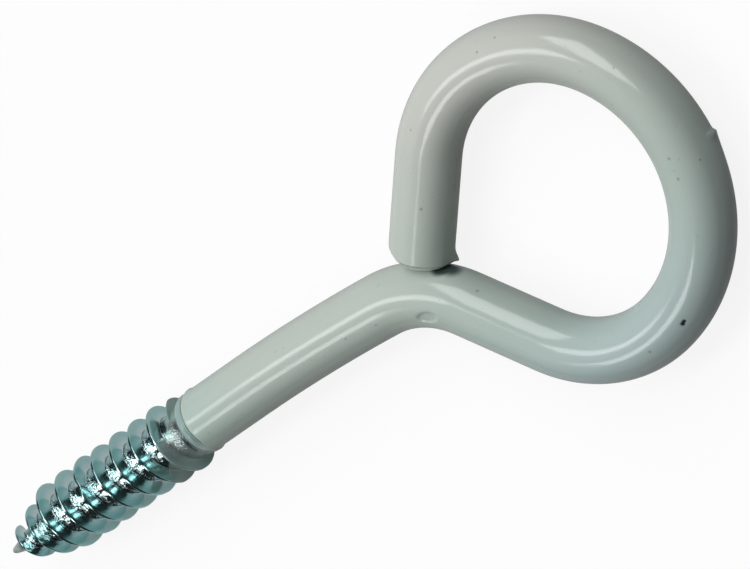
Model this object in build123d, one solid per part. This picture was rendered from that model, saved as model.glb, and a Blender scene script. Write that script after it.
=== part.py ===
from build123d import *
import os
from math import asin, atan2, ceil, cos, degrees, pi, radians, sin, sqrt, tan

# Driving sizes, in millimetres and degrees.
# The screw axis is X, with the thread in -X and the eye in +X. The eye lies flat, its plane is Z = 0.
# The origin is on the screw axis at the lip where the coating ends and the thread begins.

# Wire and dipped coating
wire_diameter = 4.0
coat_thickness = 0.37

# Bends of the wire, along its centre line from the thread to the free end
shank_straight = 5.0
bow_radius = 162.0
bow_angle = 5.0
neck_radius = 8.25
neck_angle = 48.9
neck_straight = 6.55
heel_radius = 9.0
heel_angle = 64.2
crown_radius = 11.36
crown_angle = 116.9
side_radius = 10.1

# Free leg: how far its line passes the centre of the neck bend, and the gap that its end leaves to the neck
leg_offset = 2.9
eye_gap = 0.5
crop_chamfer = 0.35
coat_end_round = 0.9

# Lip of the coating: a round bead, slightly tilted on the shank
lip_tilt = 5.0
lip_width = 0.6
lip_height = 0.14

# Rolled wood thread
thread_diameter = 5.8
root_diameter = 3.1
thread_pitch = 2.075
thread_length = 21.35
crest_width = 0.2
upper_flank_angle = 12.0
lower_flank_angle = 24.0
crest_top = -2.55
runout_length = 0.9
runout_clearance = 0.3
neck_in_length = 0.8

# Gimlet point
point_length = 5.9
point_crest_diameter = 1.6
tip_length = 1.0
tip_base_diameter = 0.95
tip_diameter = 0.45
entry_length = 0.6

# How deep the foot of the ridge is sunk in the core, and how near its buried ends come to the surface
foot_share = 0.7
buried_share = 0.85
segments_per_turn = 2
points_per_segment = 10

# Sizes that follow
wire_radius = wire_diameter / 2
coat_radius = wire_radius + coat_thickness
thread_radius = thread_diameter / 2
root_radius = root_diameter / 2
tip_x = -thread_length
tip_base_x = tip_x + tip_length
point_end_x = tip_x + point_length
thread_start_x = tip_base_x
thread_end_x = -runout_clearance


def bent_path(start_x, end_trim):
    """Centre line of the wire from start_x on the screw axis to end_trim before the coated end."""
    shank = Line((start_x, 0), (shank_straight, 0))
    bow = JernArc(shank @ 1, shank % 1, bow_radius, -bow_angle)
    neck = JernArc(bow @ 1, bow % 1, neck_radius, -neck_angle)
    rise = Line(neck @ 1, neck @ 1 + (neck % 1) * neck_straight)
    heel = JernArc(rise @ 1, rise % 1, heel_radius, heel_angle)
    crown = JernArc(heel @ 1, heel % 1, crown_radius, crown_angle)
    # The side bend turns until the leg that leaves it heads for the neck, leg_offset beside its centre.
    heading = crown % 1
    side_center = crown @ 1 + Vector(-heading.Y, heading.X) * side_radius
    to_neck = neck.arc_center - side_center
    leg_heading = atan2(to_neck.Y, to_neck.X) - asin((leg_offset - side_radius) / to_neck.length)
    side_angle = degrees(leg_heading - atan2(heading.Y, heading.X)) % 360
    side = JernArc(crown @ 1, heading, side_radius, side_angle)
    # The leg runs until its coated end is eye_gap from the coated neck.
    reach = neck_radius + coat_radius + eye_gap
    leg_length = (neck.arc_center - side @ 1).dot(side % 1) - sqrt(reach**2 - leg_offset**2)
    leg = Line(side @ 1, side @ 1 + (side % 1) * (leg_length - end_trim))
    return Wire([shank, bow, neck, rise, heel, crown, side, leg])


def rod(path, radius):
    """Round rod along a path that starts on the screw axis."""
    section = Plane(path @ 0, x_dir=(0, 1, 0), z_dir=(1, 0, 0)) * Circle(radius)
    return sweep(section, path=path)


def end_edge(solid, path):
    """Rim of the free end of a rod along the path."""
    tip = path @ 1
    return solid.edges().filter_by(GeomType.CIRCLE).sort_by(lambda edge: (edge.arc_center - tip).length)[0]


def core_radius(x):
    """Radius of the screw between its ridges, from the tip to the plain wire."""
    if x <= tip_base_x:
        return tip_diameter / 2 + (tip_base_diameter - tip_diameter) / 2 * (x - tip_x) / tip_length
    if x < point_end_x:
        share = (x - tip_base_x) / (point_length - tip_length)
        return tip_base_diameter / 2 + (root_radius - tip_base_diameter / 2) * share
    if x > thread_end_x - neck_in_length:
        share = min(1, (x - thread_end_x + neck_in_length) / neck_in_length)
        return root_radius + (wire_radius - root_radius) * share
    return root_radius


def crest_radius(x):
    """Radius of the ridge: buried at both ends, conical at the point, full between."""
    taper = (thread_diameter - point_crest_diameter) / 2 / point_length
    free = min(thread_radius, point_crest_diameter / 2 + taper * (x - tip_x))
    buried = core_radius(x) * buried_share
    grown = min(1, (x - thread_start_x) / entry_length, (thread_end_x - x) / runout_length)
    return buried + (free - buried) * grown


def ridge_point(x, side, on_crest):
    """Corner of the ridge's section at x: side is 1 towards the eye and -1 towards the tip."""
    flank_angle = upper_flank_angle if side > 0 else lower_flank_angle
    turn = 2 * pi * (x - crest_top) / thread_pitch + pi / 2
    crest = crest_radius(x)
    radius = crest if on_crest else core_radius(x) * foot_share
    offset = crest_width / 2 + (crest - radius) * tan(radians(flank_angle))
    return Vector(x + side * offset, radius * cos(turn), radius * sin(turn))


def ridge_segment(start_x, stop_x):
    """Stretch of the ridge between two places along the screw: crest, two flanks and sunk foot."""
    stride = (stop_x - start_x) / points_per_segment
    places = [start_x + stride * step for step in range(points_per_segment + 1)]
    corners = [(1, True), (-1, True), (-1, False), (1, False)]
    edges = [Spline(*[ridge_point(x, side, on_crest) for x in places]) for side, on_crest in corners]
    faces = [Face.make_surface_from_curves(a, b) for a, b in zip(edges, edges[1:] + edges[:1])]
    for end in (0, 1):
        faces.append(Face(Wire.make_polygon([edge @ end for edge in edges], close=True)))
    return Solid(Shell(faces))


def thread_ridge():
    """Helical ridge from the point to the run-out, in stretches of about half a turn end to end."""
    length = thread_end_x - thread_start_x
    count = ceil(length / thread_pitch * segments_per_turn)
    bounds = [thread_start_x + length * step / count for step in range(count + 1)]
    return [ridge_segment(start, stop) for start, stop in zip(bounds, bounds[1:])]


def threaded_core():
    """Turned form of the screw without its ridge: blunt tip, conical point, root, rise to the wire."""
    stations = [tip_x, tip_base_x, point_end_x, thread_end_x - neck_in_length, thread_end_x]
    outline = [(x, core_radius(x)) for x in stations]
    profile = Polyline((tip_x, 0), *outline, (thread_end_x, 0), close=True)
    return revolve(make_face(profile), axis=Axis.X)


# Steel: the bent wire with its cropped end, the threaded core and the ridge
wire_path = bent_path(thread_end_x, coat_thickness)
wire = rod(wire_path, wire_radius)
wire = chamfer(end_edge(wire, wire_path), crop_chamfer)
steel_screw = wire + threaded_core() + thread_ridge()

# Coating: a rod one skin larger, rounded over the free end and cut off in the middle of the tilted lip,
# with the lip's bead and without the room of the steel
lip_middle = lip_width / 2
lip_plane = Plane((lip_middle, 0, 0), z_dir=(cos(radians(lip_tilt)), -sin(radians(lip_tilt)), 0))
coat_path = bent_path(lip_middle - coat_radius, 0)
coat = rod(coat_path, coat_radius)
coat = fillet(end_edge(coat, coat_path), coat_end_round)
coat = split(coat, bisect_by=lip_plane, keep=Keep.TOP)
coat += lip_plane * Torus(coat_radius + lip_height - lip_middle, lip_middle)
vinyl_coating = coat - steel_screw

os.makedirs("parts", exist_ok=True)
for name, shape in (("steel_screw", steel_screw), ("vinyl_coating", vinyl_coating)):
    export_step(shape, f"parts/{name}.step")
    box = shape.bounding_box()
    print(name, len(shape.solids()), "solid", round(shape.volume, 2), "mm3", box.min, box.max)
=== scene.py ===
# %% [markdown]
# # A coated screw eye
# A screw eye is one piece of steel wire. One end is rolled into a wood thread with a gimlet point, the other
# end is bent into an eye. This one was dipped: a glossy skin of vinyl covers the eye and the shank, and thins
# out over the first turns of the thread, where the zinc-plated steel shows.
#
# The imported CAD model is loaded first. It sets the frame, in metres: the screw lies along X, with the thread
# in -X and the eye in +X, and the eye's plane is Z = 0.

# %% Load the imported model
from math import ceil, cos, pi, radians, sin, tan

import bpy
import numpy as np
from mathutils import Matrix, Vector


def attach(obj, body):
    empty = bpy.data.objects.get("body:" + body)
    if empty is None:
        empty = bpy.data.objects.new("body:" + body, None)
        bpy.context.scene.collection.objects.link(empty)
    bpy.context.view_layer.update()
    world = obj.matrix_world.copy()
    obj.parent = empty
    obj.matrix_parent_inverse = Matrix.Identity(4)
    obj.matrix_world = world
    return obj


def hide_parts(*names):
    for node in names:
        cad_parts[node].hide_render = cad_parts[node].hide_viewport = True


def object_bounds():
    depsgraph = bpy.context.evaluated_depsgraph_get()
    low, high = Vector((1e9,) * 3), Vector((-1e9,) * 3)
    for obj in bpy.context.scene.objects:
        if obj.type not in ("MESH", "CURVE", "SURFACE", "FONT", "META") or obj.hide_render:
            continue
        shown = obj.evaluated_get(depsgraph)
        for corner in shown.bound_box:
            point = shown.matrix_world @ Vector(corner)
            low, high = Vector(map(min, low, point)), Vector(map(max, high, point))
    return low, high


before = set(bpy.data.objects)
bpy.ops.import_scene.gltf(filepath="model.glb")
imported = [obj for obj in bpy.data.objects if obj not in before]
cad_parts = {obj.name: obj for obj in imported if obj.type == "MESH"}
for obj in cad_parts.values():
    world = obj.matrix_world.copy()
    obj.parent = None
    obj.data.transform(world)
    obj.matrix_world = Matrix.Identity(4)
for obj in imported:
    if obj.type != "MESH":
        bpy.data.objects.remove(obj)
cad_low, cad_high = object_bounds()

print("CAD nodes", sorted(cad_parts), "box", cad_low, cad_high)

# %% [markdown]
# ## The run of the wire
# Both the steel wire and its coating follow one centre line: straight shank, a slow bow, the neck that bends
# away, a short rise, three arcs round the eye, and the free leg that comes back to the neck. A curve object
# could hold it. Here it is written as a wire bender would, because that is easy to read and to change: so far
# straight on, so many degrees on such a radius. A bend to the right is negative.

# %% Sizes and the run of the wire
mm = 0.001
coat_radius = 2.37 * mm
neck_bend = 8.25 * mm
wire_run = [
    ("straight", 5.0 * mm),
    ("bend", 162.0 * mm, -5.0),
    ("bend", neck_bend, -48.9),
    ("straight", 6.55 * mm),
    ("bend", 9.0 * mm, 64.2),
    ("bend", 11.36 * mm, 116.9),
    ("bend", 10.1 * mm, 98.2),
    ("straight", 8.22 * mm),
]


def left_of(heading):
    """Unit vector to the left of a heading in the eye's plane."""
    return Vector((-sin(heading), cos(heading), 0))


def ahead(heading):
    """Unit vector along a heading in the eye's plane."""
    return Vector((cos(heading), sin(heading), 0))


print("run of the wire in", len(wire_run), "steps")

# %% [markdown]
# ## Drawing a rod out of a ring
# By hand, a bent rod is drawn in edit mode: start with a ring of vertices, extrude it along the straights,
# and spin it about the centre of each bend. A curve with a round bevel would be quicker, but the ring gives
# an even mesh whose first and last rings can be shaped into a lip and a rounded end.

# %% Helpers for edit mode
merge_gap = 0.002 * mm


def start_ring(name, x, radius, points):
    """A new ring round the screw axis, in edit mode with all its edges selected."""
    bpy.ops.object.select_all(action="DESELECT")
    upright = (0, pi / 2, 0)
    bpy.ops.mesh.primitive_circle_add(vertices=points, radius=radius, location=(x, 0, 0), rotation=upright)
    ring = bpy.context.object
    ring.name = name
    ring.data.name = name
    bpy.ops.object.transform_apply(location=True, rotation=True, scale=True)
    bpy.ops.object.mode_set(mode="EDIT")
    bpy.ops.mesh.select_mode(type="EDGE")
    bpy.ops.mesh.select_all(action="SELECT")
    return ring


def draw_out(move, widen=1.0, centre=(0, 0, 0)):
    """Extrude the selected ring by a move, then widen it about its new centre."""
    bpy.ops.mesh.extrude_region_move(TRANSFORM_OT_translate={"value": move})
    if widen != 1.0:
        bpy.ops.transform.resize(value=(widen, widen, widen), center_override=centre)


def follow_wire(start_x, ring_gap):
    """Draw the selected ring along the run of the wire. Returns where the run ends and its heading."""
    place = Vector((start_x, 0, 0))
    heading = 0.0
    for kind, *size in wire_run:
        if kind == "straight":
            # The first straight is measured from the origin, and the ring is already some way along it.
            length = size[0] - (place.x if place.y == 0 else 0)
            steps = ceil(length / ring_gap)
            for _ in range(steps):
                draw_out(ahead(heading) * length / steps)
            place = place + ahead(heading) * length
        else:
            radius, turn = size[0], radians(size[1])
            side = 1 if turn > 0 else -1
            centre = place + left_of(heading) * radius * side
            steps = ceil(radius * abs(turn) / ring_gap)
            bpy.ops.mesh.spin(steps=steps, angle=-turn, center=centre, axis=(0, 0, 1))
            place = centre + Matrix.Rotation(turn, 3, "Z") @ (place - centre)
            heading += turn
    return place, heading


def close_and_face_out(obj):
    """Merge doubles, turn the faces outwards and go back to object mode."""
    bpy.ops.mesh.select_all(action="SELECT")
    bpy.ops.mesh.remove_doubles(threshold=merge_gap)
    bpy.ops.mesh.normals_make_consistent(inside=False)
    bpy.ops.object.mode_set(mode="OBJECT")
    bpy.ops.object.shade_smooth()
    print(obj.name, len(obj.data.vertices), "vertices", len(obj.data.polygons), "faces")


# %% [markdown]
# ## The coating
# The vinyl skin starts at the lip above the thread, runs round the whole eye and is rounded over the cropped
# free end. The lip is drawn first, ring by ring and close together, because two fine creases will be pressed
# into it. Then the rod follows the wire, and the end is closed by rings that shrink along a quarter circle.

# %% Draw the coating
coat_points = 56
coat_ring_gap = 0.4 * mm
lip_rim = [(-0.62, 1.90), (-0.59, 2.05), (-0.53, 2.16), (-0.45, 2.23), (-0.34, 2.28)]
lip_slope = [(-0.05, 2.33), (0.30, 2.36), (0.80, 2.37)]
close_rings = [-0.27, -0.18, -0.10, -0.02, 0.04, 0.08, 0.12, 0.16, 0.22, 0.26, 0.29, 0.32]
close_rings += [0.35, 0.40, 0.48, 0.60, 0.80]

lip_places = [x for x, radius in lip_rim] + close_rings
lip_radii = np.interp(lip_places, *zip(*(lip_rim + lip_slope)))
coat = start_ring("vinyl_skin", lip_places[0] * mm, lip_radii[0] * mm, coat_points)
for x0, r0, x1, r1 in zip(lip_places, lip_radii, lip_places[1:], lip_radii[1:]):
    draw_out(((x1 - x0) * mm, 0, 0), r1 / r0, (x1 * mm, 0, 0))
leg_end, leg_heading = follow_wire(lip_places[-1] * mm, coat_ring_gap)
print("free end", leg_end / mm, "heading", leg_heading / pi * 180)

# %% Close the free end
# The run ends at the outer face, so its last ring goes back by the rounding before the end is drawn.
end_round = 0.9 * mm
end_steps = 6
cap_rings = (0.66, 0.33)
onward = ahead(leg_heading)
end_flat = coat_radius - end_round
bpy.ops.transform.translate(value=-onward * end_round)
last = coat_radius
along_before = 0
for step in range(1, end_steps + 1):
    swing = pi / 2 * step / end_steps
    radius = end_flat + end_round * cos(swing)
    along = end_round * sin(swing)
    draw_out(onward * (along - along_before), radius / last, leg_end - onward * (end_round - along))
    last = radius
    along_before = along
for share in cap_rings:
    draw_out((0, 0, 0), share * end_flat / last, leg_end)
    last = share * end_flat
bpy.ops.mesh.edge_face_add()
close_and_face_out(coat)
finer = coat.modifiers.new("finer", "SUBSURF")
finer.levels = 1
finer.render_levels = 1
bpy.ops.object.modifier_apply(modifier=finer.name)
print("finer coat", len(coat.data.polygons), "faces")

# %% [markdown]
# ## Marks of dipping and handling
# A dipped skin is never perfect. At the lip it folded into two thin creases, and on one side a run thickened
# it. The creases and a line at the lip's foot are darkened in colour: painted shade. Where it was handled
# while soft there is a fold, a pressed oval, a few nibs and a torn flap at the free end. In sculpt mode these
# would be brush strokes. Here each one is a smooth bump or dent in code, so that it stays in place. The
# vertices are read into an array in millimetres, and angles go round the screw axis from +Y towards +Z.

# %% Helpers for sculpting in code
def vertex_places(mesh):
    """The mesh's vertices in millimetres, as an array of rows."""
    places = np.empty(len(mesh.vertices) * 3)
    mesh.vertices.foreach_get("co", places)
    return places.reshape(-1, 3) / mm


def put_vertices(mesh, places):
    """Move the mesh's vertices to the rows of an array in millimetres."""
    mesh.vertices.foreach_set("co", (places * mm).ravel())
    mesh.update()


def outward(mesh):
    """The normals of the mesh's vertices, as an array of rows."""
    normals = np.empty(len(mesh.vertices) * 3)
    mesh.vertex_normals.foreach_get("vector", normals)
    return normals.reshape(-1, 3)


def write_attribute(mesh, name, values):
    """Keep one number for each vertex, for the materials to read."""
    mesh.attributes.new(name, "FLOAT", "POINT").data.foreach_set("value", values.astype(np.float32))


def bell(value, middle, width):
    """A smooth hump of height 1."""
    return np.exp(-(((value - middle) / width) ** 2))


def ease(value, low, high):
    """0 at low, 1 at high, smooth between."""
    share = np.clip((value - low) / (high - low), 0, 1)
    return share * share * (3 - 2 * share)


def soft_max(first, second, softness):
    """The larger of two values, rounded where they are nearly the same."""
    return 0.5 * (first + second + np.sqrt((first - second) ** 2 + softness**2))


def round_axis(places):
    """Angle in degrees and radius of each place round the screw axis."""
    turn = np.degrees(np.arctan2(places[:, 2], places[:, 1])) % 360
    return turn, np.hypot(places[:, 1], places[:, 2])


def angle_from(turn, middle):
    """Signed difference of angles in degrees, between -180 and 180."""
    return (turn - middle + 180) % 360 - 180


# %% Creases, beads and lumps of the lip
# A bead has a height, a place along the screw and a width. A lump has an angle and a spread as well.
lip_length, lip_waviness = 3, 0.03
upper_crease, lower_crease, lip_foot = 0.30, 0.10, -0.48
crease_half, crease_depth = 0.045, 0.09
crease_middle, crease_full, crease_out = 20, 95, 118
lower_strength, lower_middle, lower_spread = 0.6, 105, 30
# The line at the lip's foot is painted shade, and so is the dark colour in the creases.
foot_shade_strength, foot_shade_middle, foot_shade_spread, foot_shade_half = 1.6, 95, 48, 1.5 * crease_half
thin_full, thin_out = 0.2, 0.34
lip_beads = [(0.045, -0.2, 0.25), (0.03, 0.55, 0.15)]
lip_lumps = [(0.16, -0.05, 0.28, 185, 34), (0.08, 0.62, 0.2, -8, 22)]


def foot_shade(turn):
    """How strong the painted shade along the lip's foot is, by the angle round the screw."""
    return foot_shade_strength * bell(angle_from(turn, foot_shade_middle), 0, foot_shade_spread)


places = vertex_places(coat.data)
turn, _ = round_axis(places)
at_lip = places[:, 0] < lip_length
along_lip = places[:, 0] - lip_waviness * np.sin(np.radians(3 * turn))
creased = 1 - ease(np.abs(angle_from(turn, crease_middle)), crease_full, crease_out)
lower_share = lower_strength * bell(angle_from(turn, lower_middle), 0, lower_spread)
creases = bell(along_lip, upper_crease, crease_half)
creases += lower_share * bell(along_lip, lower_crease, crease_half)
bead = sum(height * bell(along_lip, middle, width) for height, middle, width in lip_beads)
grown = creased * (bead - crease_depth * creases)
for height, middle, width, side, spread in lip_lumps:
    grown += height * bell(along_lip, middle, width) * bell(angle_from(turn, side), 0, spread)
grown = np.where(at_lip, grown, 0)
places[:, 1] += grown * np.cos(np.radians(turn))
places[:, 2] += grown * np.sin(np.radians(turn))
put_vertices(coat.data, places)
# Painted shade: the creases and the lip's foot are darkened in colour by this attribute.
creases += foot_shade(turn) * bell(places[:, 0], lip_foot, foot_shade_half)
write_attribute(coat.data, "crease_shade", np.where(at_lip, creased * creases, 0))
thin = creased * (1 - ease(along_lip, thin_full, thin_out))
write_attribute(coat.data, "thin", np.where(at_lip, thin, 0))
print("lip grown by", grown.min(), "to", grown.max(), "mm")

# %% Fold on the eye
# The fold rises steeply on its upper side and sinks back slowly below it.
fold_point, fold_along = np.array((49.2, -3.7, -0.8)), np.array((0.153, 0.988, 0))
fold_height, fold_steep, fold_slow, fold_width = 0.24, 0.09, 0.9, 0.85
places = vertex_places(coat.data)
normals = outward(coat.data)
above_fold = (places - fold_point) @ fold_along
beside_fold = np.linalg.norm(places - fold_point - np.outer(above_fold, fold_along), axis=1)
fold = np.where(above_fold > 0, bell(above_fold, 0, fold_steep), np.exp(above_fold / fold_slow))
grown = fold_height * fold * bell(beside_fold, 0, fold_width)
print("fold up to", grown.max(), "mm")

# %% Pressed oval, nibs, pinhole and torn flap
# Each mark has a height, a point, the direction it is longest in, half its length and width, and a flatness.
marks = {
    "pressed oval": (-0.1, (22.95, -3.15, 2.2), (1, -0.35, 0), 0.85, 0.5, 3),
    "nib on the neck": (0.05, (24.0, -4.9, 1.9), (0.75, -0.66, 0), 0.5, 0.3, 1),
    "nib in the eye": (0.2, (37.2, -10.72, 0.96), (1, 0.3, 0), 0.25, 0.22, 1),
    "pinhole": (-0.08, (40.14, -13.42, 2.04), (0.6, 0.75, 0), 0.2, 0.13, 1),
}
flap_shape = ((25.92, -0.95, -0.85), (0.52, -0.78, -0.35), 0.5, 0.42, 1)
flap_height, flap_pull = 0.42, (0.516, -0.779, -0.354)


def oval(point, along, half_length, half_width, flatness):
    """A hump of height 1 over an oval patch that is longest along a direction."""
    away = places - np.array(point)
    lengthwise = away @ np.array(Vector(along).normalized())
    sideways = (away**2).sum(1) - lengthwise**2
    return np.exp(-((((lengthwise / half_length) ** 2) + sideways / half_width**2) ** flatness))


for height, *shape in marks.values():
    grown += height * oval(*shape)
places += normals * grown[:, None]
places += np.outer(flap_height * oval(*flap_shape), flap_pull)
put_vertices(coat.data, places)
print("marks from", grown.min(), "to", grown.max(), "mm")

# %% [markdown]
# ## The free end at the neck
# The wire was cropped a little askew, and the soft skin over its end was pressed flat where it meets the
# neck. A bisect would cut the corner off, and a boolean would cut the end to the neck's shape. Both leave
# hard edges and uneven faces, so the vertices are pushed back instead: behind a slanting plane with a soft
# edge, and then out of the neck until a hair's breadth is left. Only vertices that face the neck are pushed,
# so that the neck's own surface stays.

# %% Crop the free end askew
crop_facing = np.array(onward * 0.8 - left_of(leg_heading) * 0.54 + Vector((0, 0, 0.264)))
crop_reach, crop_softness = 0.62, 0.15
leg_low, leg_high, leg_width = -3.1, 0.1, 2.6
from_end = places - np.array(leg_end) / mm
along_leg = from_end @ np.array(onward)
beside_leg = np.linalg.norm(from_end - np.outer(along_leg, onward), axis=1)
on_leg = (along_leg > leg_low) & (along_leg < leg_high) & (beside_leg < leg_width)
cropped = np.where(on_leg, soft_max(from_end @ crop_facing - crop_reach, 0, crop_softness), 0)
places -= np.outer(cropped, crop_facing)
print("free end cropped by", cropped.max(), "mm")

# %% Press it against the neck
neck_centre = np.array((18.4, -8.835, 0))
neck_gap, end_region = 0.04, 3.5
from_neck = places - neck_centre
neck_share = 1 - neck_bend / mm / np.hypot(from_neck[:, 0], from_neck[:, 1])
from_wire = np.column_stack((from_neck[:, :2] * neck_share[:, None], from_neck[:, 2]))
wire_gap = np.linalg.norm(from_wire, axis=1)
facing_neck = (normals * from_wire).sum(1) < 0
at_end = facing_neck & (np.linalg.norm(from_end, axis=1) < end_region)
pressed = np.where(at_end, np.maximum(coat_radius / mm + neck_gap - wire_gap, 0), 0)
places += from_wire * (pressed / wire_gap)[:, None]
put_vertices(coat.data, places)
print("free end pressed by", pressed.max(), "mm")

# %% [markdown]
# ## The thread
# A wood thread is one ridge wound round a core. It could be cut out of the rod turn by turn, but winding
# gives a cleaner mesh: the section over one pitch is drawn once, vertex by vertex, and a Screw modifier winds
# it. The flanks are unequal, and their slopes are read from the gloss on them.

# %% Thread sizes in millimetres
pitch = 2.075
root_radius, thread_radius = 1.8, 2.9
crest_place = -3.06875
turns_before, turns_all = 10, 13
steps_per_turn = 96
upper_flank, lower_flank = radians(10), radians(15)
crest_half, crest_round, foot_round = 0.1, 0.08, 0.1
arc_steps, longest_step = 6, 0.25
flank_rise = thread_radius - root_radius
upper_foot = crest_half + flank_rise * tan(upper_flank)
lower_foot = -crest_half - flank_rise * tan(lower_flank)
upper_end = (upper_foot + lower_foot + pitch) / 2
lower_end = upper_end - pitch
print("feet of the ridge at", lower_foot, upper_foot, "ends of its section at", lower_end, upper_end)

# %% Section of the ridge over one pitch
ridge_corners = [
    (lower_end, root_radius),
    (lower_foot, root_radius),
    (-crest_half, thread_radius),
    (crest_half, thread_radius),
    (upper_foot, root_radius),
    (upper_end, root_radius),
]


def rounded(corners, radii):
    """Points of an outline with an arc at each inner corner and no long step on its straights."""
    corners = [Vector(corner) for corner in corners]
    stretches = [[corners[0]]]
    for before, corner, after, radius in zip(corners, corners[1:], corners[2:], radii):
        back, on = (before - corner).normalized(), (after - corner).normalized()
        half = back.angle(on) / 2
        centre = corner + (back + on).normalized() * radius / sin(half)
        first = (corner + back * radius / tan(half) - centre).normalized()
        last = (corner + on * radius / tan(half) - centre).normalized()
        shares = [step / arc_steps for step in range(arc_steps + 1)]
        stretches.append([centre + first.slerp(last, share) * radius for share in shares])
    stretches.append([corners[-1]])
    points = stretches[0]
    for stretch in stretches[1:]:
        steps = ceil((stretch[0] - points[-1]).length / longest_step)
        points += [points[-1].lerp(stretch[0], step / steps) for step in range(1, steps)] + stretch
    return points


ridge_section = rounded(ridge_corners, [foot_round, crest_round, crest_round, foot_round])
print("ridge section", len(ridge_section), "points")

# %% Draw the section of the ridge and wind it
seed_size = 0.1 * mm
wound_merge_gap = 0.004 * mm
first_offset, first_radius = ridge_section[0]
first_crest = crest_place - turns_before * pitch
seed_place = ((first_crest + first_offset) * mm, first_radius * mm, 0)
bpy.ops.object.select_all(action="DESELECT")
bpy.ops.mesh.primitive_plane_add(size=seed_size, location=seed_place)
screw = bpy.context.object
screw.name = "zinc_screw"
screw.data.name = "zinc_screw"
bpy.ops.object.transform_apply(location=True, rotation=True, scale=True)
bpy.ops.object.mode_set(mode="EDIT")
bpy.ops.mesh.select_mode(type="VERT")
bpy.ops.mesh.select_all(action="SELECT")
bpy.ops.mesh.merge(type="CENTER")
for (o0, r0), (o1, r1) in zip(ridge_section, ridge_section[1:]):
    move = ((o1 - o0) * mm, (r1 - r0) * mm, 0)
    bpy.ops.mesh.extrude_vertices_move(TRANSFORM_OT_translate={"value": move})
bpy.ops.object.mode_set(mode="OBJECT")
winding = screw.modifiers.new("winding", "SCREW")
winding.axis = "X"
winding.angle = 2 * pi
winding.screw_offset = pitch * mm
winding.iterations = turns_all
winding.steps = steps_per_turn
winding.render_steps = steps_per_turn
winding.use_merge_vertices = False
bpy.ops.object.modifier_apply(modifier=winding.name)
bpy.ops.object.mode_set(mode="EDIT")
bpy.ops.mesh.select_all(action="SELECT")
bpy.ops.mesh.remove_doubles(threshold=wound_merge_gap)
bpy.ops.object.mode_set(mode="OBJECT")
print("wound thread", len(screw.data.vertices), "vertices")

# %% [markdown]
# ## Taper and knocks
# At the point and at the run-out the ridge gets lower and narrower, and the core thinner. A lattice could
# squeeze the whole thread, but it would flatten the ridge's flanks as well. So every vertex keeps its share
# of the ridge's height, and that height and the core follow the screw's own taper. One ridge was knocked: its
# crest is pushed towards the eye and folded over at one place.

# %% Core and height of the ridge along the screw
tip_x = -21.35
point_crest, point_taper = 0.8, 0.3559
buried_share = 0.85
core_outline = [
    (tip_x, 0.02), (-21.33, 0.12), (-21.28, 0.19), (-21.2, 0.24),
    (-20.35, 0.475), (-15.45, root_radius), (-1.1, root_radius), (-0.3, 2.0),
]
ridge_growth = [(-20.35, 0), (-19.75, 1), (-2.0, 1), (-1.0, 0.82), (-0.6, 0)]


def core_radius(x):
    """Radius between the ridges: blunt tip, conical point, root, rise to the wire."""
    return np.interp(x, *zip(*core_outline))


def ridge_height(x):
    """Height of the ridge over the core: nothing at both ends, full between."""
    free = np.minimum(thread_radius, point_crest + point_taper * (x - tip_x))
    buried = buried_share * core_radius(x)
    grown = np.interp(x, *zip(*ridge_growth))
    return np.maximum(buried + (free - buried) * grown - core_radius(x), 0)


print("ridge at mid thread", ridge_height(-10.0), "mm high")

# %% Taper the wound thread
# The last turn is pulled towards the lip, where the ridge runs out at a steeper pitch.
last_turn = [(-30, -30), (-2.03, -2.03), (-0.3, -1.165), (1.0, 1.0), (30, 30)]
places = vertex_places(screw.data)
turn = np.arctan2(places[:, 2], places[:, 1])
radius = np.hypot(places[:, 1], places[:, 2])
from_crest = places[:, 0] - crest_place - pitch * turn / (2 * pi)
offset = (from_crest - lower_end) % pitch + lower_end
crest_x = places[:, 0] - offset
shrink = ridge_height(crest_x) / flank_rise


def squeeze(foot, end, side):
    """Offset from the crest after the ridge has shrunk, on one side of the crest."""
    new_foot = side * crest_half + (foot - side * crest_half) * shrink
    on_ridge = side * crest_half + (offset - side * crest_half) * shrink
    on_ridge = np.where(side * offset < crest_half, offset, on_ridge)
    in_root = new_foot + (offset - foot) * (end - new_foot) / (end - foot)
    return np.where(side * offset > side * foot, in_root, on_ridge)


upper_side, lower_side = squeeze(upper_foot, upper_end, 1), squeeze(lower_foot, lower_end, -1)
new_x = crest_x + np.where(offset > 0, upper_side, lower_side)
new_x = np.interp(new_x, *zip(*last_turn))
new_radius = core_radius(new_x) + (radius - root_radius) * shrink
print("tapered thread from", new_x.min(), "to", new_x.max(), "mm")

# %% Knock one ridge and set the rest a little out of true
# A knock has an angle, a spread, a push along the screw and a push outwards.
knocked_turn = -4
knocks = [(8, 42, 0.22, 0.07), (66, 13, 0.2, -0.12)]
lean, dip = 0.02, 0.015
turn_count = np.round((crest_x - crest_place - pitch * turn / (2 * pi)) / pitch)
up_ridge = (radius - root_radius) / flank_rise * shrink
for middle, spread, push, lift in knocks:
    hit = (turn_count == knocked_turn) * bell(np.degrees(turn), middle, spread)
    new_x += up_ridge * push * hit
    new_radius += up_ridge * lift * hit
new_x += lean * up_ridge * np.sin(2 * turn + 1.3 * turn_count)
new_radius += dip * up_ridge * (np.sin(3 * turn + 2.1 * turn_count) - 1)
put_vertices(screw.data, np.column_stack((new_x, new_radius * np.cos(turn), new_radius * np.sin(turn))))
print("thread from", new_x.min(), "radius up to", new_radius.max(), "mm")

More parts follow.
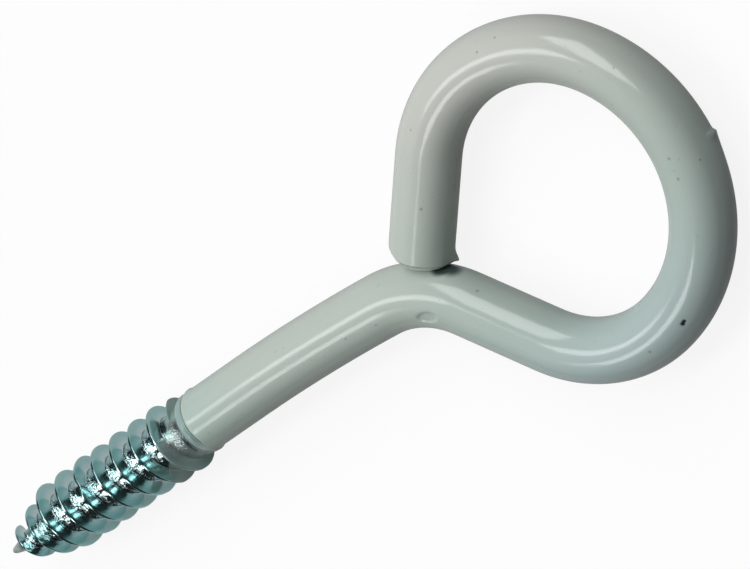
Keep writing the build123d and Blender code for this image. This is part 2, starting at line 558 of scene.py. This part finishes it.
# %% Mark where the rolls left the root rough
# The rolls pitted the root below each ridge, and left it smoother and smoother towards the next one.
rough_from, rough_full = upper_foot - 0.04, upper_foot + 0.1
smoother = [(0.75, 0.55, 0.8), (0.25, 1.1, 1.3)]
from_ridge = offset % pitch
rolled = ease(from_ridge, rough_from, rough_full)
rolled *= 1 - sum(share * ease(from_ridge, start, stop) for share, start, stop in smoother)
write_attribute(screw.data, "rolled", rolled)
print("mean roughness of the root", rolled.mean())

# %% [markdown]
# ## The wire under the skin
# The steel goes on under the vinyl to the free end. It could be a piece of its own, but wire and thread are
# one piece of steel, so the thread's last ring is drawn along the same run. Nobody sees it, so few rings will
# do.

# %% Cut the tip and draw the wire through the coating
tip_cut = -21.34 * mm
wire_start = 1.0 * mm
wire_ring_gap = 3.0 * mm
wire_short = 1.2 * mm
bpy.ops.object.mode_set(mode="EDIT")
bpy.ops.mesh.select_all(action="SELECT")
bpy.ops.mesh.bisect(plane_co=(tip_cut, 0, 0), plane_no=(1, 0, 0), clear_inner=True, use_fill=True)
bpy.ops.mesh.select_all(action="SELECT")
bpy.ops.mesh.bisect(plane_co=(wire_start, 0, 0), plane_no=(1, 0, 0), clear_outer=True, use_fill=False)
bpy.ops.mesh.select_mode(type="EDGE")
wire_end, wire_heading = follow_wire(wire_start, wire_ring_gap)
bpy.ops.transform.translate(value=-ahead(wire_heading) * wire_short)
bpy.ops.mesh.edge_face_add()
close_and_face_out(screw)
print("wire ends", wire_short / mm, "mm before", wire_end / mm)

# %% [markdown]
# ## The film over the first turns
# Below the lip the vinyl ran on over the first ridges as a thin film, further on the side where it dripped.
# There it fills the roots like syrup, and elsewhere it only makes a meniscus under the lip. A second mesh
# over the thread could show it, but two surfaces so close together would cut through each other. So the
# screw's own vertices are lifted to the film: each learns how far inside the film's edge it lies, and goes to
# the higher of the coated ridge and the pool. The depth is kept as an attribute, so that the material can
# tell film from zinc.

# %% Lay the film on the screw
film_edge = [
    (0, -1.9), (50, -2.0), (70, -2.25), (90, -2.62), (115, -3.0),
    (150, -4.3), (185, -4.75), (240, -4.4), (300, -2.9), (360, -1.9),
]
edge_waves = [(0.06, 7), (0.05, 16)]
film_skin, film_fade = 0.05, (-0.05, 0.3)
under_lip = (-0.15, 0.1)
drip_middle, drip_spread = 195, 62
pool_top, pool_foot, pool_start, pool_swell = 2.08, 1.83, -0.35, 0.31
meniscus = 0.3
ridge_softness, pool_softness = 0.08, 0.3
places = vertex_places(screw.data)
turn, radius = round_axis(places)
x = places[:, 0]
edge_x = np.interp(turn, *zip(*film_edge))
edge_x += sum(size * np.sin(np.radians(waves * turn)) for size, waves in edge_waves)
depth = x - edge_x
cover = ease(depth, *film_fade) * (1 - ease(x, *under_lip))
drip_side = bell(angle_from(turn, drip_middle), 0, drip_spread)
down_pool = np.clip((pool_start - x) / (pool_start - edge_x), 0, 1)
level = drip_side * (1 - down_pool) + (1 - drip_side) * np.exp(np.minimum(x - pool_start, 0) / meniscus)
pool = pool_foot + (pool_top + pool_swell * drip_side - pool_foot) * level
filled = soft_max(radius + film_skin, pool, ridge_softness + pool_softness * drip_side)
lifted = radius + cover * (filled - radius)
places[:, 1:] *= (lifted / np.maximum(radius, 0.001))[:, None]
put_vertices(screw.data, places)
print("film lifts", (lifted - radius).max(), "mm")

# %% Tell the material about the film
plain_full, plain_out = 35, 65
film_shade_line, film_shade_half = -0.92, 2.8 * crease_half
plain_side = 1 - ease(np.abs(angle_from(turn, 0)), plain_full, plain_out)
write_attribute(screw.data, "film", np.clip(depth, -2, 2))
write_attribute(screw.data, "up_ridge", np.clip(radius - core_radius(x), 0, 2))
write_attribute(screw.data, "dripped", np.maximum(drip_side, plain_side))
# The painted shade along the lip's foot goes on over the film.
write_attribute(screw.data, "crease_shade", foot_shade(turn) * bell(x, film_shade_line, film_shade_half))
print("attributes", [attribute.name for attribute in screw.data.attributes])

# %% [markdown]
# ## Shader sums
# Shader maths reads best as plain sums. `Value` wraps a socket so that `1 - mask` adds a Math node, and
# `Finish.node` adds any other node: its kind, its settings, and the values or links of its sockets.

# %% Values in sums
class Value:
    """A node's output that can be used in sums."""

    def __init__(self, finish, socket):
        self.finish = finish
        self.socket = socket

    def math(self, operation, first, second=0.0):
        return self.finish.node("ShaderNodeMath", {"operation": operation}, {0: first, 1: second})

    def __add__(self, other):
        return self.math("ADD", self, other)

    def __sub__(self, other):
        return self.math("SUBTRACT", self, other)

    def __mul__(self, other):
        return self.math("MULTIPLY", self, other)

    def __rsub__(self, other):
        return self.math("SUBTRACT", other, self)

    __radd__ = __add__
    __rmul__ = __mul__

    def clamp(self):
        return self.finish.node("ShaderNodeClamp", {}, {"Value": self})

    def step(self, low, high):
        """0 below low, 1 above high, smooth between."""
        sockets = {"Value": self, "From Min": low, "From Max": high}
        return self.finish.node("ShaderNodeMapRange", {"interpolation_type": "SMOOTHSTEP"}, sockets)


# %% Node trees
class Finish:
    """A node tree that is filled node by node."""

    def __init__(self, tree):
        self.tree = tree
        tree.nodes.clear()

    def node(self, kind, settings, inputs, output=0):
        made = self.tree.nodes.new(kind)
        for name, value in settings.items():
            if name == "stops":
                for index, (place, colour) in enumerate(value):
                    stops = made.color_ramp.elements
                    stop = stops[index] if index < 2 else stops.new(place)
                    stop.position = place
                    stop.color = colour
            else:
                setattr(made, name, value)
        for name, value in inputs.items():
            if isinstance(value, Value):
                self.tree.links.new(value.socket, made.inputs[name])
            else:
                made.inputs[name].default_value = value
        return Value(self, made.outputs[output]) if made.outputs else None

    def blend(self, share, first, second, kind="MIX"):
        """Colour between two colours."""
        settings = {"data_type": "RGBA", "blend_type": kind}
        return self.node("ShaderNodeMix", settings, {0: share, 6: first, 7: second}, 2)

    def noise(self, place, scale, detail=2.0, roughness=0.5):
        sockets = {"Vector": place, "Scale": scale, "Detail": detail, "Roughness": roughness}
        return self.node("ShaderNodeTexNoise", {}, sockets)

    def attribute(self, name):
        return self.node("ShaderNodeAttribute", {"attribute_name": name}, {}, 2)

    def distance(self, place, point):
        return self.node("ShaderNodeVectorMath", {"operation": "DISTANCE"}, {0: place, 1: point}, 1)

    def along(self, place, point, direction):
        """How far a place lies from a point along a direction."""
        away = self.node("ShaderNodeVectorMath", {"operation": "SUBTRACT"}, {0: place, 1: point})
        return self.node("ShaderNodeVectorMath", {"operation": "DOT_PRODUCT"}, {0: away, 1: direction}, 1)

    def oval(self, place, point, direction, half_length, half_width):
        """0 in the middle of an oval that is longest along a direction, 1 at its edge, squared."""
        lengthwise = self.along(place, point, direction)
        gap = self.distance(place, point)
        sideways = gap * gap - lengthwise * lengthwise
        return lengthwise * lengthwise * (1 / half_length**2) + sideways * (1 / half_width**2)

    def near(self, place, point, inner, outer):
        """1 within inner of a point, 0 beyond outer."""
        return 1 - self.distance(place, point).step(inner, outer)

    def dotted(self, place, dots):
        """1 within a list of round dots, each written as its point and size in millimetres."""
        total = 0.0
        for *point, size in dots:
            total = self.near(place, Vector(point) * mm, 0.4 * size * mm, 1.3 * size * mm) + total
        return total.clamp()

    def bumped(self, height):
        """Normals of a surface that is raised by a height in metres."""
        return self.node("ShaderNodeBump", {}, {"Strength": 1.0, "Distance": 1.0, "Height": height})


def new_material(name):
    """A material with an empty node tree, and the Finish that fills it."""
    material = bpy.data.materials.new(name)
    material.use_nodes = True
    return material, Finish(material.node_tree)


# %% [markdown]
# ## Vinyl
# The skin is a pale grey-green plastic with a wet gloss. Its colour drifts a little along the eye: bluer at
# the foot, more neutral at the top. Painted shade darkens its far side. Dust settled in it while it dried, one
# pinhole went through, and on the neck under the free end painted shade of the gap, partly grime, darkens it.
# Painted shade darkens the lip's creases too. A painted image could hold all that, but it would need an
# unwrapped mesh, so noise and a few dots in space do it. The gloss shows a faint orange peel, which is too
# fine for the mesh and comes from a bump with a fine and a slow wave.

# %% Vinyl colours and dots
vinyl_foot, vinyl_shank = (0.49, 0.615, 0.60, 1), (0.53, 0.62, 0.56, 1)
vinyl_top, vinyl_lip = (0.63, 0.655, 0.605, 1), (0.495, 0.625, 0.575, 1)
side_shade_colour, film_tone = (0.40, 0.475, 0.45, 1), (0.66, 0.76, 0.79, 1)
# Specks are dust; the darker colour is painted shade in the lip's creases and along its foot.
speck_colour, crease_shade_colour = (0.22, 0.27, 0.25, 1), (0.10, 0.14, 0.125, 1)
# Dark of the pinhole, also used for painted shade under the free end and in the corner of the first ridge.
hole_and_shade_colour = (0.012, 0.035, 0.035, 1)
specks = [
    (27.22, -3.58, 1.31, 0.13), (27.89, 3.37, 2.22, 0.13), (16.28, -1.09, 2.27, 0.10),
    (39.06, 9.98, 2.15, 0.11), (30.98, 8.29, 2.25, 0.09), (46.95, -3.57, 2.37, 0.13),
    (46.62, -5.06, 2.37, 0.14), (48.48, -4.84, 1.61, 0.11), (47.26, 3.67, 1.98, 0.10),
    (40.7, 10.09, 1.79, 0.10), (19.07, -1.5, 2.2, 0.09), (36.64, -13.79, 2.22, 0.15),
]
pinhole = [(40.04, -13.45, 2.02, 0.20), (40.27, -13.36, 2.05, 0.17)]
# Dots on the neck under the free end: painted shade of the gap there, partly grime.
shade_and_grime = [(25.97, -1.21, 0.38, 0.85), (25.29, -0.8, 0.88, 0.6)]
print(len(specks), "specks in the vinyl")

# %% Colour of the skin
eye_foot, eye_width = -13 * mm, 24 * mm
cloud_scale, cloud_share = 90.0, 0.25
lip_reach, lip_share = 9 * mm, 0.7
side_shade_start, side_shade_full, side_shade_share = 41 * mm, 55 * mm, 0.35
dust_scale, dust_low, dust_high, dust_share = 2600.0, 0.72, 0.80, 0.22
drift_stops = [(0.0, vinyl_foot), (0.45, vinyl_shank), (0.95, vinyl_top)]


def vinyl_colour(finish, place):
    """Colour of the skin with its drift, the painted shade on its far side and the dust in it."""
    along = finish.node("ShaderNodeSeparateXYZ", {}, {0: place}, 0)
    across = finish.node("ShaderNodeSeparateXYZ", {}, {0: place}, 1)
    cloud = finish.noise(place, cloud_scale) - 0.5
    drift = (across - eye_foot) * (1 / eye_width) + cloud * cloud_share
    colour = finish.node("ShaderNodeValToRGB", {"stops": drift_stops}, {0: drift})
    colour = finish.blend((1 - along.step(0, lip_reach)) * lip_share, colour, vinyl_lip)
    # Painted shade: the far side of the eye is darker.
    shaded_side = (along - across).step(side_shade_start, side_shade_full)
    colour = finish.blend(shaded_side * side_shade_share, colour, side_shade_colour)
    dust = finish.noise(place, dust_scale, 1.0).step(dust_low, dust_high)
    return finish.blend(dust * dust_share, colour, speck_colour)


def thinned(finish, share, colour):
    """Colour of the skin where it is so thin that the steel darkens it."""
    return finish.blend(share, colour, film_tone, "MULTIPLY")


# %% Vinyl on the coating
neck_outside, shade_and_grime_edge = 10.63 * mm, 0.1 * mm
speck_share, shade_and_grime_share, crease_shade_share = 0.6, 0.9, 0.8
vinyl, finish = new_material("vinyl")
place = finish.node("ShaderNodeTexCoord", {}, {}, 3)
on_neck = finish.near(place, Vector(neck_centre) * mm, neck_outside, neck_outside + shade_and_grime_edge)
colour = thinned(finish, finish.attribute("thin"), vinyl_colour(finish, place))
colour = finish.blend(finish.dotted(place, specks) * speck_share, colour, speck_colour)
colour = finish.blend(finish.dotted(place, pinhole), colour, hole_and_shade_colour)
# Painted shade of the gap under the free end, partly grime, darkens the neck.
colour = finish.blend(finish.dotted(place, shade_and_grime) * on_neck * shade_and_grime_share, colour, hole_and_shade_colour)
# Painted shade in the creases of the lip and along its foot.
colour = finish.blend((finish.attribute("crease_shade") * crease_shade_share).clamp(), colour, crease_shade_colour)
print("vinyl colour nodes", len(vinyl.node_tree.nodes))

# %% Vinyl gloss
# The bump sharpens the rim of the pressed oval and the edge of the fold, which the mesh only gives softly.
fine_peel, slow_peel = 0.004 * mm, 0.03 * mm
fine_scale, slow_scale = 1400.0, 260.0
oval_point, oval_along = Vector(marks["pressed oval"][1]) * mm, (0.944, -0.33, 0)
oval_length, oval_width, oval_depth = 0.95 * mm, 0.55 * mm, 0.05 * mm
fold_middle, fold_edge = Vector(fold_point) * mm, 0.14 * mm
vinyl_roughness = 0.145
peel = finish.noise(place, fine_scale) * fine_peel + finish.noise(place, slow_scale) * slow_peel
from_oval = finish.oval(place, oval_point, oval_along, oval_length, oval_width)
above_fold = finish.along(place, fold_middle, fold_along)
folded = (1 - above_fold.step(-0.02 * mm, 0.14 * mm)) * above_fold.step(-0.9 * mm, 0.0)
folded = folded * finish.near(place, fold_middle, 0.5 * mm, 1.5 * mm)
height = peel + from_oval.step(0.4, 1.0) * oval_depth + folded * fold_edge
sockets = {
    "Base Color": colour,
    "Roughness": vinyl_roughness,
    "Specular IOR Level": 0.5,
    "Normal": finish.bumped(height),
}
body = finish.node("ShaderNodeBsdfPrincipled", {}, sockets)
finish.node("ShaderNodeOutputMaterial", {}, {"Surface": body})
print("vinyl nodes", len(vinyl.node_tree.nodes))

# %% [markdown]
# ## Zinc and film
# Bright zinc plate on rolled steel: the flanks are satin, the root is clearer but pitted by the rolls, and
# the tip is dull. The screw carries the vinyl film too. Two materials on chosen faces would give a jagged
# edge, so one material mixes both by the `film` attribute, with a ragged edge from noise. Under the film the
# metal part is lowered but not lost, because the steel shines through it, most of all where it is silvery in
# the roots. Painted shade darkens a line along the lip's foot and the corner of the first ridge.

# %% Zinc colours
zinc_dark, zinc_light = (0.43, 0.69, 0.695, 1), (0.50, 0.76, 0.765, 1)
zinc_root, zinc_dull = (0.70, 0.85, 0.86, 1), (0.42, 0.50, 0.46, 1)
silver_film = (0.54, 0.62, 0.61, 1)
# Spots of painted shade in the corner of the first ridge: a point and a size in millimetres each.
corner_shade = [(-2.25, 1.27, 1.41, 0.4), (-2.37, 1.56, 1.08, 0.4), (-2.15, 1.0, 1.62, 0.3)]
print(len(corner_shade), "spots of dirt")

# %% Where the zinc is bare, shallow, dull or under the film
root_line, flank_line = 0.15, 0.75
ragged_scale, ragged_width, film_edge_half = 1600.0, 0.5, 0.06
dull_full, dull_out = -20.9 * mm, -19.6 * mm
zinc, finish = new_material("zinc")
place = finish.node("ShaderNodeTexCoord", {}, {}, 3)
along = finish.node("ShaderNodeSeparateXYZ", {}, {0: place}, 0)
shallow = 1 - finish.attribute("up_ridge").step(root_line, flank_line)
ragged = (finish.noise(place, ragged_scale) - 0.5) * ragged_width
filmed = (finish.attribute("film") + ragged).step(-film_edge_half, film_edge_half)
bare = 1 - filmed
at_tip = 1 - along.step(dull_full, dull_out)
silvery = shallow * (1 - finish.attribute("dripped"))
print("zinc mask nodes", len(zinc.node_tree.nodes))

# %% Zinc and film colour
mottle_scale, root_share, dull_share = 4200.0, 0.8, 0.8
film_share, foot_line_shade_share, corner_shade_share = 0.9, 0.9, 0.85
mottle = finish.noise(place, mottle_scale, 2.0, 0.6)
colour = finish.blend(mottle, zinc_dark, zinc_light)
colour = finish.blend(shallow * root_share, colour, zinc_root)
colour = finish.blend(at_tip * dull_share, colour, zinc_dull)
film_colour = thinned(finish, film_share, vinyl_colour(finish, place))
film_colour = finish.blend(silvery, film_colour, silver_film)
# Painted shade along the lip's foot, over the film.
film_colour = finish.blend((finish.attribute("crease_shade") * foot_line_shade_share).clamp(), film_colour, crease_shade_colour)
colour = finish.blend(filmed, colour, film_colour)
# Painted shade in the corner of the first ridge.
colour = finish.blend(finish.dotted(place, corner_shade) * corner_shade_share, colour, hole_and_shade_colour)
print("zinc colour nodes", len(zinc.node_tree.nodes))

# %% Zinc gloss
pit_scale, pit_depth, mottle_depth = 6500.0, 0.11 * mm, 0.002 * mm
wet_scale, silver_depth, wet_depth = 5000.0, 0.07 * mm, 0.006 * mm
satin, root_clearer, film_duller, tip_duller = 0.18, 0.09, 0.05, 0.17
film_cover, film_shine, tip_cover = 0.6, 0.4, 0.7
pits = finish.noise(place, pit_scale, 1.0)
rolled = pits * finish.attribute("rolled") * pit_depth + mottle * mottle_depth
wet = finish.noise(place, wet_scale, 2.0, 0.6) * (silvery * silver_depth + wet_depth)
uneven = rolled * bare + wet * filmed
sockets = {
    "Base Color": colour,
    "Metallic": (1 - filmed * (film_cover - silvery * film_shine)) * (1 - at_tip * tip_cover),
    "Roughness": satin - shallow * bare * root_clearer + filmed * film_duller + at_tip * tip_duller,
    "Specular IOR Level": 0.5,
    "Normal": finish.bumped(uneven),
}
body = finish.node("ShaderNodeBsdfPrincipled", {}, sockets)
finish.node("ShaderNodeOutputMaterial", {}, {"Surface": body})
print("zinc nodes", len(zinc.node_tree.nodes))

# %% [markdown]
# ## Give the pieces their finish
# Each new piece stands for one CAD node, whose own mesh is hidden, and rides on the only body.

# %% Materials, body and slots
finishes = [(coat, vinyl, "vinyl_coating", "vinyl"), (screw, zinc, "steel_screw", "zinc_plated_steel")]
for piece, material, node, slot in finishes:
    piece.data.materials.clear()
    piece.data.materials.append(material)
    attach(piece, "root")
    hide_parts(node)
    print(piece.name, "stands for", node)

# %% [markdown]
# ## The floor
# The object lies on a pure white ground. A white sheet lit by lamps would need so much light that the object
# burns out, so the camera sees a sheet that mostly glows, with enough plain paper in it to keep the shadow.
# Glass would see the same sheet, and gloss a dim one. For soft bounced light it is a mid grey, as in a studio
# with dark walls.

# %% Lay the floor
floor_size = 12
paper_grey, paper_white = (0.3, 0.3, 0.3, 1), (1, 1, 1, 1)
glow_seen, glow_in_gloss, white_in_gloss = 0.88, 0.2, 0.15
bpy.ops.object.select_all(action="DESELECT")
bpy.ops.mesh.primitive_plane_add(size=floor_size, location=(0, 0, cad_low.z))
floor = bpy.context.object
floor.name = "floor"
paper, finish = new_material("paper")
camera_ray = finish.node("ShaderNodeLightPath", {}, {}, "Is Camera Ray")
glossy_ray = finish.node("ShaderNodeLightPath", {}, {}, "Is Glossy Ray")
clear_ray = finish.node("ShaderNodeLightPath", {}, {}, "Is Transmission Ray")
seen = (camera_ray + clear_ray).clamp()
paper_colour = finish.blend((seen + glossy_ray * white_in_gloss).clamp(), paper_grey, paper_white)
sheet = finish.node("ShaderNodeBsdfDiffuse", {}, {"Color": paper_colour})
glow = finish.node("ShaderNodeEmission", {}, {"Strength": 1.0})
glow_share = seen * glow_seen + glossy_ray * glow_in_gloss
mixed = finish.node("ShaderNodeMixShader", {}, {0: glow_share, 1: sheet, 2: glow})
finish.node("ShaderNodeOutputMaterial", {}, {"Surface": mixed})
floor.data.materials.append(paper)
print("floor at", cad_low.z)

# %% [markdown]
# ## Lamps
# They are read from the gloss on the tube: two narrow strip lamps on the left make the double line along the
# shank, and a wider one behind makes the broad band on the eye. A soft lamp without a reflection of its own
# fills in. A lamp could be placed and aimed by hand, but gloss depends on directions only, so each strip is
# set by the two directions between which it stretches, as seen from the eye.

# %% Hang the lamps
lamp_distance = 1.0
lamp_centre = Vector((0.02, 0, 0))
room_colour = (0.02, 0.02, 0.02, 1)


def lamp(name, first, second, width, level):
    """A strip lamp between two directions, so wide in degrees and so many times as bright as white."""
    ends = [Vector(first).normalized(), Vector(second).normalized()]
    middle = (ends[0] + ends[1]).normalized()
    data = bpy.data.lights.new(name, "AREA")
    data.shape = "RECTANGLE"
    data.size = 2 * tan(ends[0].angle(ends[1]) / 2) * lamp_distance
    data.size_y = 2 * tan(radians(width) / 2) * lamp_distance
    data.energy = level * pi * data.size * data.size_y
    made = bpy.data.objects.new(name, data)
    along = (ends[1] - ends[0]).normalized()
    across = middle.cross(along).normalized()
    turned = Matrix((along, across, middle)).transposed().to_4x4()
    made.matrix_world = Matrix.Translation(lamp_centre + middle * lamp_distance) @ turned
    bpy.context.scene.collection.objects.link(made)
    print(name, "size", data.size, data.size_y, "power", data.energy)
    return made


lamp("strip_left", (-0.62, 0.27, 0.737), (-0.12, 0.377, 0.918), width=12, level=5.0)
lamp("strip_near", (-0.62, -0.23, 0.75), (-0.28, -0.34, 0.90), width=12, level=5.4)
lamp("box_far", (0.29, 0.29, 0.91), (0.33, 0.85, 0.42), width=22, level=4.4)
soft = lamp("soft_top", (-0.84, 0.25, 0.48), (0.02, 0.55, 0.83), width=60, level=1.15)
soft.visible_glossy = False

world = bpy.data.worlds.new("studio")
bpy.context.scene.world = world
world.use_nodes = True
world.node_tree.nodes["Background"].inputs["Color"].default_value = room_colour

# %% [markdown]
# ## Camera
# It looks down on the lying object from beyond its eye, with the frame turned so that the screw runs to the
# lower left. It is a long lens: the distance is 5800 times the size of a pixel at the object. A camera could
# be aimed by a constraint, but a matrix of its right, up and backward directions keeps the roll exact.

# %% Set the camera
frame_width = 750
pixel = 0.0708 * mm
view_far = 5800
view_tilt, view_roll = radians(34.5), radians(34.98)
view_centre, centre_right, centre_up = 21.934 * mm, 30.5 * pixel, 5.9 * pixel
toward = Vector((sin(view_tilt), 0, cos(view_tilt)))
along = Vector((cos(view_tilt), 0, -sin(view_tilt)))
right = along * cos(view_roll) - Vector((0, 1, 0)) * sin(view_roll)
up = along * sin(view_roll) + Vector((0, 1, 0)) * cos(view_roll)
aim = Vector((view_centre, 0, 0)) - right * centre_right - up * centre_up
lens = bpy.data.cameras.new("camera")
lens.sensor_width = 36
lens.lens = lens.sensor_width * view_far / frame_width
lens.clip_start = 0.01
lens.clip_end = 100
camera = bpy.data.objects.new("camera", lens)
turned = Matrix((right, up, toward)).transposed().to_4x4()
camera.matrix_world = Matrix.Translation(aim + toward * view_far * pixel) @ turned
bpy.context.scene.collection.objects.link(camera)
bpy.context.scene.camera = camera
bpy.context.scene.view_settings.view_transform = "Standard"
print("camera", lens.lens, "mm at", camera.matrix_world.translation)
